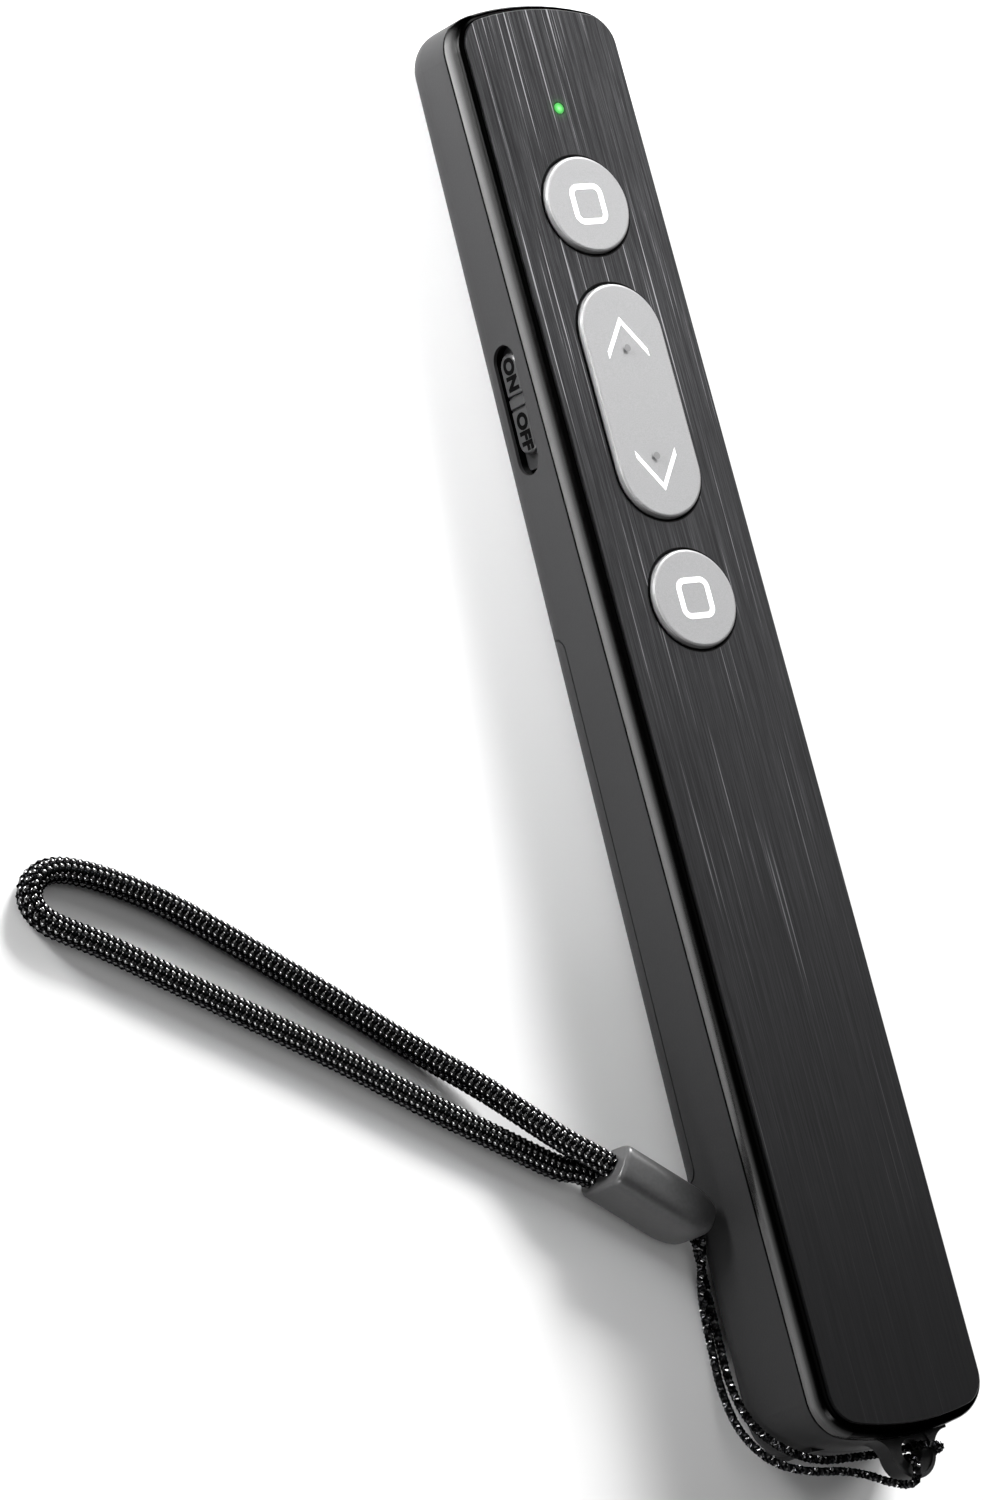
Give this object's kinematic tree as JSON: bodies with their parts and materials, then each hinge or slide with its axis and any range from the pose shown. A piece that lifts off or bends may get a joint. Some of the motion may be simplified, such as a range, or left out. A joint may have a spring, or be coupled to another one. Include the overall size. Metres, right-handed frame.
{
  "type": "wireless presentation clicker",
  "caption": "Slim wedge-shaped hand-held clicker with round and page keys, side power switch, battery door, stowed plug-in receiver and braided wrist strap.",
  "frame": {"origin": "on the surface that the clicker lies on, under the middle of the clicker without its strap", "axes": "+Y towards the top end with the status light, +Z from the flat back to the keys, +X to the right when the keys are read upright"},
  "size_m": [0.0996, 0.1683, 0.0155],
  "materials": {
    "brushed_plate": "brushed lengthwise, dark anodised",
    "adhesive": "soft double-sided tape",
    "gloss_bezel": "high gloss black",
    "matte_body": "fine matte dark grey",
    "silver_key": "satin silver",
    "light_lens": "clear green",
    "board": "solder mask",
    "switch_case": "moulded black",
    "plunger": "moulded natural",
    "switch_knob": "satin dark grey",
    "steel": "nickel plated",
    "cell_wrap": "plain printed sleeve",
    "plug_shell": "polished",
    "gold_pads": "gold plated",
    "strap_plastic": "satin dark grey",
    "braid": "tight glossy braid"
  },
  "bodies": {
    "clicker": {"board_screws": "steel", "bottom_switch": "switch_case", "circuit_board": "board", "crystal": "steel", "face_plate": "brushed_plate", "front_cover": "gloss_bezel", "housing_screws": "steel", "led_window": "light_lens", "negative_contact": "steel", "page_down_switch": "switch_case", "page_up_switch": "switch_case", "plate_tape": "adhesive", "positive_contact": "steel", "power_switch_body": "switch_case", "radio_chip": "switch_case", "rear_housing": "matte_body", "return_strip": "steel", "status_led": "light_lens", "strap_connector": "strap_plastic", "string_loop": "braid", "top_switch": "switch_case", "wrist_cord": "braid"},
    "top_key": {"top_button": "silver_key", "top_plunger": "plunger"},
    "page_rocker": {"page_key": "silver_key", "page_up_plunger": "plunger", "page_down_plunger": "plunger"},
    "bottom_key": {"bottom_button": "silver_key", "bottom_plunger": "plunger"},
    "power_knob": {"power_switch_knob": "switch_knob", "power_switch_lever": "plunger"},
    "door": {"battery_door": "matte_body"},
    "cell": {"battery_cell": "cell_wrap"},
    "receiver": {"receiver_cap": "matte_body", "receiver_shell": "plug_shell", "receiver_tongue": "plunger", "receiver_contacts": "gold_pads"}
  },
  "joints": [
    {"name": "top_button_press", "type": "slide", "parent": "clicker", "child": "top_key", "axis": [0, -0.03, -0.9996], "range_m": [0, 0.0003], "stiffness_N_per_m": 1500, "springref_m": -0.0004},
    {"name": "bottom_button_press", "type": "slide", "parent": "clicker", "child": "bottom_key", "axis": [0, -0.03, -0.9996], "range_m": [0, 0.0003], "stiffness_N_per_m": 1500, "springref_m": -0.0004},
    {"name": "page_key_rock", "type": "hinge", "parent": "clicker", "child": "page_rocker", "pos_m": [0, 0.03692, 0.00997], "axis": [1, 0, 0], "range_deg": [-2, 2], "stiffness_Nm_per_rad": 0.3},
    {"name": "power_switch_slide", "type": "slide", "parent": "clicker", "child": "power_knob", "axis": [0, -1, 0], "range_m": [0, 0.0023]},
    {"name": "battery_door_lift", "type": "slide", "parent": "clicker", "child": "door", "axis": [0, 0, -1], "range_m": [0, 0.024]},
    {"name": "battery_cell_lift", "type": "slide", "parent": "clicker", "child": "cell", "axis": [0, 0, -1], "range_m": [0, 0.012]},
    {"name": "receiver_pull", "type": "slide", "parent": "clicker", "child": "receiver", "axis": [0, -1, 0], "range_m": [0, 0.02]}
  ],
  "couplings": [
    {"joint": "battery_cell_lift", "follows": "battery_door_lift", "ratio": 0.5}
  ]
}
